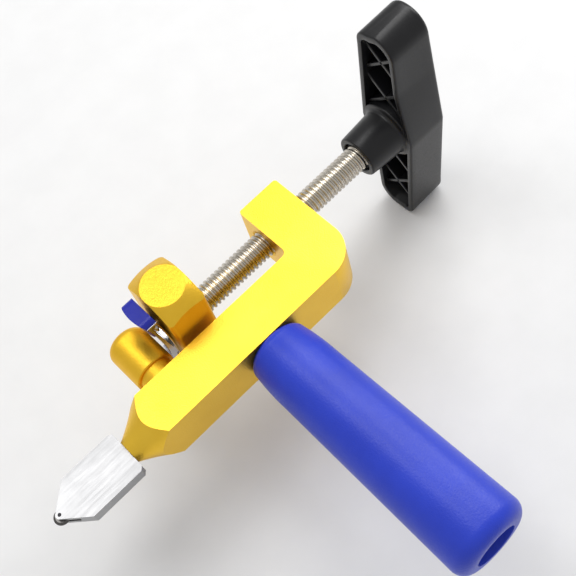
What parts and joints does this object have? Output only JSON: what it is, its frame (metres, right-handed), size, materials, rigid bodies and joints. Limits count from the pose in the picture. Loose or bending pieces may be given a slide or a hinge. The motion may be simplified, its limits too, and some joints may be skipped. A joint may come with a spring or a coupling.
{
  "type": "screw-clamp glass cutter",
  "caption": "Hand glass and tile cutter with a scoring wheel on a flat steel head, a gold C-frame with a screw-driven breaking jaw and round anvil, a black bar knob and a blue grip.",
  "frame": {"origin": "centre of the open bore at the butt end of the handle", "axes": "+X along the clamp screw from the scoring wheel towards the knob, +Y along the handle from its butt to the frame, +Z out of the flat face of the frame"},
  "size_m": [0.1952, 0.1405, 0.1036],
  "materials": {
    "gold_anodised": "satin",
    "bright_steel": "satin",
    "chrome_strip": "gloss",
    "blue_plastic": "satin",
    "blue_pad": "gloss",
    "black_plastic": "satin",
    "plated_steel": "satin",
    "dark_steel": "satin",
    "carbide": "satin"
  },
  "bodies": {
    "frame": {"c_frame": "gold_anodised", "anvil_post": "gold_anodised", "anvil_stud": "plated_steel", "handle_grip": "blue_plastic", "handle_bolt": "dark_steel", "handle_washer": "plated_steel", "handle_spring_washer": "plated_steel", "scoring_head": "bright_steel", "wheel_axle": "dark_steel", "head_set_screw": "dark_steel"},
    "jaw": {"press_block": "gold_anodised", "retaining_pins": "plated_steel", "pad_carrier": "chrome_strip", "carrier_screws": "plated_steel", "upper_pad": "blue_pad", "lower_pad": "blue_pad"},
    "screw": {"clamp_screw": "plated_steel", "knob": "black_plastic", "knob_nut": "plated_steel"},
    "wheel": {"cutting_wheel": "carbide"}
  },
  "joints": [
    {"name": "jaw_slide", "type": "slide", "parent": "frame", "child": "jaw", "axis": [1, 0, 0], "range_m": [-0.0003, 0.03]},
    {"name": "screw_turn", "type": "hinge", "parent": "jaw", "child": "screw", "pos_m": [0, 0.1281, 0], "axis": [1, 0, 0], "range_deg": [-62, 6005]},
    {"name": "wheel_spin", "type": "hinge", "parent": "frame", "child": "wheel", "pos_m": [-0.0876, 0.1054, 0], "axis": [0, 0, 1], "continuous": true}
  ],
  "couplings": [
    {"joint": "screw_turn", "follows": "jaw_slide", "rad_per_m": 3490.7}
  ]
}
